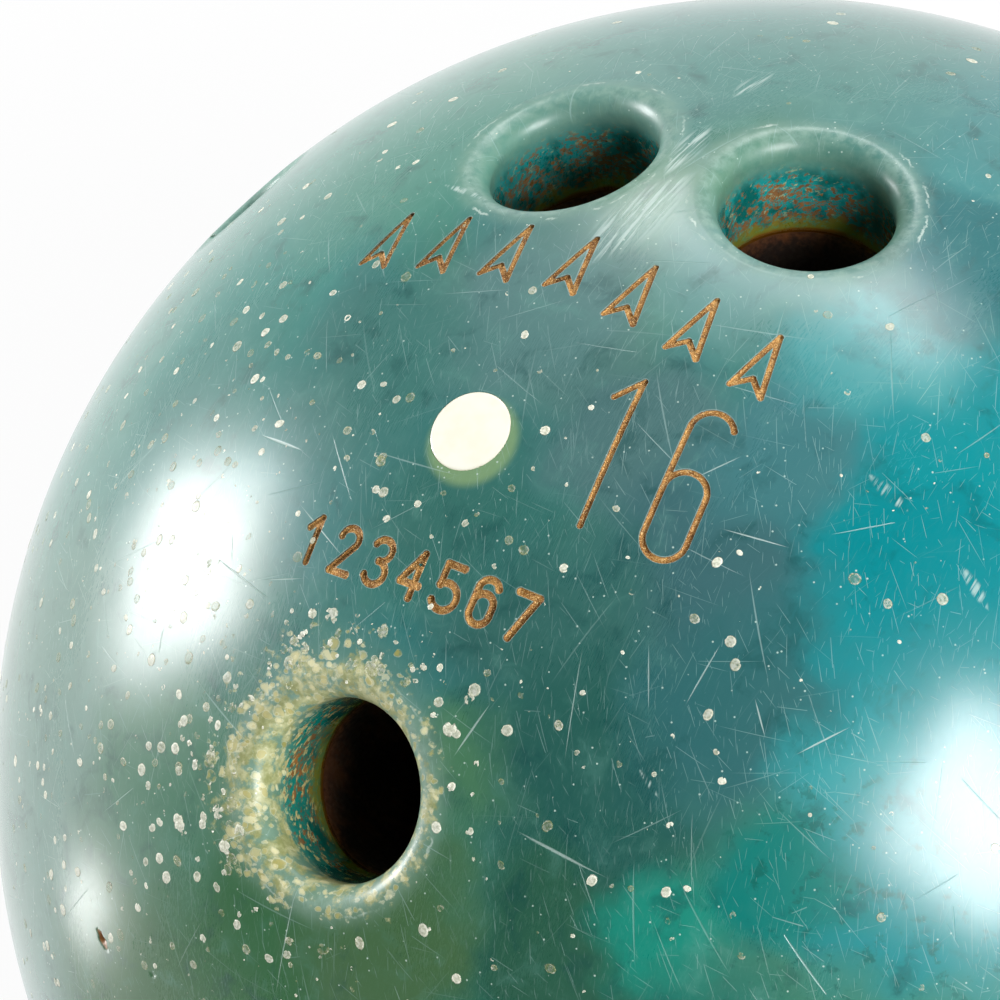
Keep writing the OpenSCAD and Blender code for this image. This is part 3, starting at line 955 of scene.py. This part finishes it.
def bubble_ground(name, grit):
    """A closed carrier that holds how crowded the bubbles are, or the grit by the thumb hole."""
    bpy.ops.mesh.primitive_ico_sphere_add(subdivisions=6, radius=ball_r)
    ground = bpy.context.object
    ground.name = name
    places = np.zeros(len(ground.data.vertices) * 3)
    ground.data.vertices.foreach_get("co", places)
    directions = unit(places.reshape(-1, 3))
    crowd = np.full(len(directions), BUBBLE_BASE)
    for heading, height, reach, count in BUBBLE_CROWDS:
        gap = np.linalg.norm(directions - towards(heading, height), axis=1) * outer
        crowd += count * np.exp(-(gap / reach) ** 2)
    gap = np.arccos(np.clip(directions @ holes[0].out, -1, 1)) * outer - holes[0].mouth_r
    lean = np.clip((directions - holes[0].out) @ CLUMP_SIDE * outer / holes[0].mouth_r, -1, 1)
    crowd = (13 + 11 * lean) * np.exp(-((gap - 1.5) / (CLUMP_REACH + 1.4 * lean)) ** 2) if grit else crowd
    for hole in holes:
        gap = np.arccos(np.clip(directions @ hole.out, -1, 1)) * outer - hole.mouth_r
        crowd[gap < 0.9] = 0
    crowd[np.arccos(np.clip(directions[:, 2], -1, 1)) * outer < pin_r + 1.6] = 0
    for index in np.nonzero(directions[:, 2] > GRIP_CAP)[0]:
        if strokes.distance(directions[index], 1.8)[0] < 1.6 or strokes.inside(directions[index]):
            crowd[index] = 0
    attribute = ground.data.attributes.new("crowd", "FLOAT", "POINT")
    attribute.data.foreach_set("value", crowd)
    return ground


def bubble_tree(material):
    tree = bpy.data.node_groups.new("bubbles", "GeometryNodeTree")
    ports = {}
    for name, kind, value in (("Geometry", "Geometry", None), ("Crowding", "Float", 1e4),
                              ("Least radius", "Float", 0.17 * MM), ("Most radius", "Float", 1.0 * MM),
                              ("Thickness", "Float", 0.05), ("Raggedness", "Float", 0.15 * MM),
                              ("Seed", "Int", 7)):
        port = tree.interface.new_socket(name, in_out="INPUT", socket_type="NodeSocket" + kind)
        if value is not None:
            port.default_value = value
        ports[name] = port.identifier
    tree.interface.new_socket("Geometry", in_out="OUTPUT", socket_type="NodeSocketGeometry")

    def add(kind, settings=None, **values):
        node = tree.nodes.new(kind)
        for setting, choice in (settings or {}).items():
            setattr(node, setting, choice)
        for socket, value in values.items():
            target = node.inputs[int(socket[1:]) if socket[1:].isdigit() else socket.replace("_", " ")]
            if isinstance(value, bpy.types.NodeSocket):
                tree.links.new(value, target)
            else:
                target.default_value = value
        return node

    def maths(operation, first, second):
        return add("ShaderNodeMath", {"operation": operation}, i0=first, i1=second).outputs[0]

    def draw(low, high, seed):
        """A random number for each bubble."""
        return add("FunctionNodeRandomValue", {"data_type": "FLOAT"}, i2=low, i3=high, Seed=seed).outputs[1]

    entry = add("NodeGroupInput").outputs
    crowd = add("GeometryNodeInputNamedAttribute", Name="crowd").outputs[0]
    density = maths("MULTIPLY", crowd, entry["Crowding"])
    spread = add("GeometryNodeDistributePointsOnFaces", Mesh=entry["Geometry"], Density=density,
                 Seed=entry["Seed"])
    # a lens: a low cone with a flat middle, which knows how far each point is from its axis
    cone = add("GeometryNodeMeshCone", {"fill_type": "TRIANGLE_FAN"}, Vertices=14, Radius_Top=0.66,
               Radius_Bottom=1.0, Depth=entry["Thickness"], Side_Segments=1)
    local = add("GeometryNodeInputPosition").outputs[0]
    from_axis = add("ShaderNodeVectorMath", {"operation": "LENGTH"}, i0=local).outputs[1]
    lens = add("GeometryNodeStoreNamedAttribute", {"data_type": "FLOAT", "domain": "POINT"},
               Geometry=cone.outputs["Mesh"], Name="from_axis", Value=from_axis)
    squared = maths("POWER", draw(0.0, 1.0, entry["Seed"]), 2.0)
    radius = add("ShaderNodeMapRange", Value=squared, To_Min=entry["Least radius"],
                 To_Max=entry["Most radius"]).outputs[0]
    across = maths("MULTIPLY", radius, draw(0.72, 1.0, 21))
    size = add("ShaderNodeCombineXYZ", X=radius, Y=across, Z=radius).outputs[0]
    spin = draw(0.0, math.tau, 5)
    turn = add("FunctionNodeRotateRotation", {"rotation_space": "LOCAL"},
               Rotation=spread.outputs["Rotation"],
               Rotate_By=add("ShaderNodeCombineXYZ", Z=spin).outputs[0]).outputs[0]
    placed = add("GeometryNodeInstanceOnPoints", Points=spread.outputs["Points"], Instance=lens.outputs[0],
                 Rotation=turn, Scale=size)
    own = draw(0.0, 1.0, 3)
    stored = add("GeometryNodeStoreNamedAttribute", {"data_type": "FLOAT", "domain": "INSTANCE"},
                 Geometry=placed.outputs[0], Name="own_shade", Value=own)
    real = add("GeometryNodeRealizeInstances", Geometry=stored.outputs[0])
    # the outlines are a little ragged
    where = add("GeometryNodeInputPosition").outputs[0]
    rough = add("ShaderNodeTexNoise", Vector=where, Scale=1900.0, Detail=2.0).outputs[1]
    centred = add("ShaderNodeVectorMath", {"operation": "SUBTRACT"}, i0=rough,
                  i1=(0.5, 0.5, 0.5)).outputs[0]
    nudge = add("ShaderNodeVectorMath", {"operation": "SCALE"}, i0=centred,
                Scale=entry["Raggedness"]).outputs[0]
    moved = add("GeometryNodeSetPosition", Geometry=real.outputs[0], Offset=nudge)
    smooth = add("GeometryNodeSetShadeSmooth", Geometry=moved.outputs[0])
    dressed = add("GeometryNodeSetMaterial", Geometry=smooth.outputs[0], Material=material)
    tree.links.new(dressed.outputs[0], add("NodeGroupOutput").inputs[0])
    return tree, ports


def bubble_finish():
    finish = Finish("bubble_cream")
    own = finish.node("Attribute", {"attribute_name": "own_shade"}, {}, out="Fac")
    from_axis = finish.node("Attribute", {"attribute_name": "from_axis"}, {}, out="Fac")
    grit = finish.clouds(finish.place, 0.4, detail=4.0, roughness=0.65)
    rim = finish.fade(from_axis, 0.5, 0.8)
    finish.colour = finish.mix(finish.fade(own, 0.1, 0.7), paint(172, 180, 110), paint(234, 236, 212))
    finish.over(finish.fade(grit, 0.42, 0.62) * 0.8, paint(254, 254, 240))
    solid = finish.fade(own, 0.1, 0.9, 0.2, 0.8) * finish.fade(grit, 0.25, 0.6, 0.6, 1.0)
    alpha = finish.fade(from_axis, 1.0, 0.7) * (solid + rim * 0.25)
    return finish.shell(base_color=finish.colour, roughness=finish.fade(grit, 0.3, 0.7, 0.36, 0.5),
                        normal=finish.bump(grit, 0.05), alpha=alpha, coat_weight=0.25, coat_roughness=0.22)


def grown(carrier, tree, ports, settings):
    """Runs a tree on its carrier and returns the result as a plain mesh object under the same name."""
    modifier = carrier.modifiers.new("grow", "NODES")
    modifier.node_group = tree
    for name, value in settings.items():
        modifier[ports[name]] = value
    result = bpy.data.meshes.new_from_object(carrier.evaluated_get(bpy.context.evaluated_depsgraph_get()))
    carrier.modifiers.remove(modifier)
    carrier.data = result
    return carrier


bubble_cream = bubble_finish()
tree, ports = bubble_tree(bubble_cream)
thumb_grit = {"Seed": 12, "Least radius": 0.3 * MM, "Most radius": 1.4 * MM, "Raggedness": 0.7 * MM}
for name, settings in (("bubbles", {"Seed": 7}), ("thumb_grit", thumb_grit)):
    bubbles = grown(bubble_ground(name, name == "thumb_grit"), tree, ports, settings)
    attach(bubbles, "root")


# ---- Stand: floor, lamps and sky ----
# A plain white table top under two large soft boxes, a low strip and a long weak one, in a pale room
# with a dark ceiling. The ball rests on the point that the frame names.

def floor_finish():
    finish = Finish("white_floor")
    camera_ray = finish.node("LightPath", {}, {}, out="Is Camera Ray")
    rays = camera_ray.maths("MAXIMUM", camera_ray, camera_ray.sibling("Is Glossy Ray"))
    rays = rays.maths("MAXIMUM", rays, camera_ray.sibling("Is Transmission Ray"))
    matt = finish.node("BsdfDiffuse", {}, {"Color": (0.82, 0.82, 0.82, 1)})
    bright = finish.node("Emission", {}, {"Color": (1, 1, 1, 1), "Strength": 1.0})
    blend = finish.node("MixShader", {}, (rays * 0.88, matt, bright))
    finish.node("OutputMaterial", {}, {0: blend})
    return finish.owner


bpy.ops.mesh.primitive_circle_add(vertices=96, radius=4.0, fill_type="NGON", location=(0, 0, 0))
floor = bpy.context.object
floor.name = "floor"
floor.data.transform(Matrix.Translation(Vector(mounts["rest_point"]["pos_m"])))
dress(floor, floor_finish())
floor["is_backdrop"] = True


def soft_box(name, heading, height, away, width, tall, brightness, roll=0.0):
    """A soft lamp that faces the ball from a heading and height, sized in metres."""
    lamp = bpy.data.lights.new(name, "AREA")
    lamp.shape = "RECTANGLE"
    lamp.size = width
    lamp.size_y = tall
    lamp.energy = brightness * math.pi * width * tall
    box = bpy.data.objects.new(name, lamp)
    out = Vector(towards(heading, height))
    facing = (-out).to_track_quat("-Z", "Y").to_matrix().to_4x4()
    box.matrix_world = Matrix.Translation(out * away) @ facing @ Matrix.Rotation(math.radians(roll), 4, "Z")
    box.visible_camera = False
    scene.collection.objects.link(box)


soft_box("left_box", -173.5, 22, 1.3, 0.42, 0.54, 21.0)
soft_box("right_box", -3, 31.5, 1.3, 0.56, 0.54, 20.0)
soft_box("long_strip", 101, 33, 1.6, 1.3, 0.3, 12.0, roll=-8)
soft_box("low_strip", -148.5, 1, 0.42, 0.04, 0.07, 13.0)


def room():
    """White for the camera; for the ball, a pale wall low down that darkens to the ceiling."""
    sky = Nodes(bpy.data.worlds.new("pale_room"))
    aim = sky.node("TexCoord", {}, {}, out="Generated")
    height = sky.node("SeparateXYZ", {}, {"Vector": aim}, out="Z")
    ramp = sky.node("ValToRGB", {}, {"Fac": height})
    stops = ramp.socket.node.color_ramp.elements
    stops.remove(stops[1])
    stops[0].color = (1, 1, 1, 1)
    for place, level in ((0.12, 0.8), (0.25, 0.3), (0.4, 0.06), (1.0, 0.02)):
        stops.new(place).color = (level, level, level, 1)
    lit = sky.node("Background", {}, {"Color": ramp, "Strength": 1.0})
    seen = sky.node("Background", {}, {"Color": (1, 1, 1, 1), "Strength": 1.0})
    camera_ray = sky.node("LightPath", {}, {}, out="Is Camera Ray")
    sky.node("OutputWorld", {}, {0: sky.node("MixShader", {}, (camera_ray, lit, seen))})
    return sky.owner


scene.world = room()
scene.view_settings.view_transform = "Standard"


# ---- Camera ----
# A long lens from above the front right, turned a little on its side and aimed past the ball's middle.

CAMERA_PLACE = Vector((0.4037, -0.1832, 0.7204))
CAMERA_BACK = Vector((0.52696, -0.23490, 0.81678))
CAMERA_RIGHT = Vector((0.79969, 0.46244, -0.38294))

lens = bpy.data.cameras.new("camera")
lens.lens = 216
lens.sensor_width = 36
camera = bpy.data.objects.new("camera", lens)
back = CAMERA_BACK.normalized()
right = (CAMERA_RIGHT - back * CAMERA_RIGHT.dot(back)).normalized()
up = back.cross(right)
camera.matrix_world = Matrix.Translation(CAMERA_PLACE) @ Matrix((right, up, back)).transposed().to_4x4()
scene.collection.objects.link(camera)
scene.camera = camera


# ---- Sizes, for the record ----

def corners(box):
    return [list(corner) for corner in box]


{"cad": corners(cad_box), "visual": corners(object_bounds())}
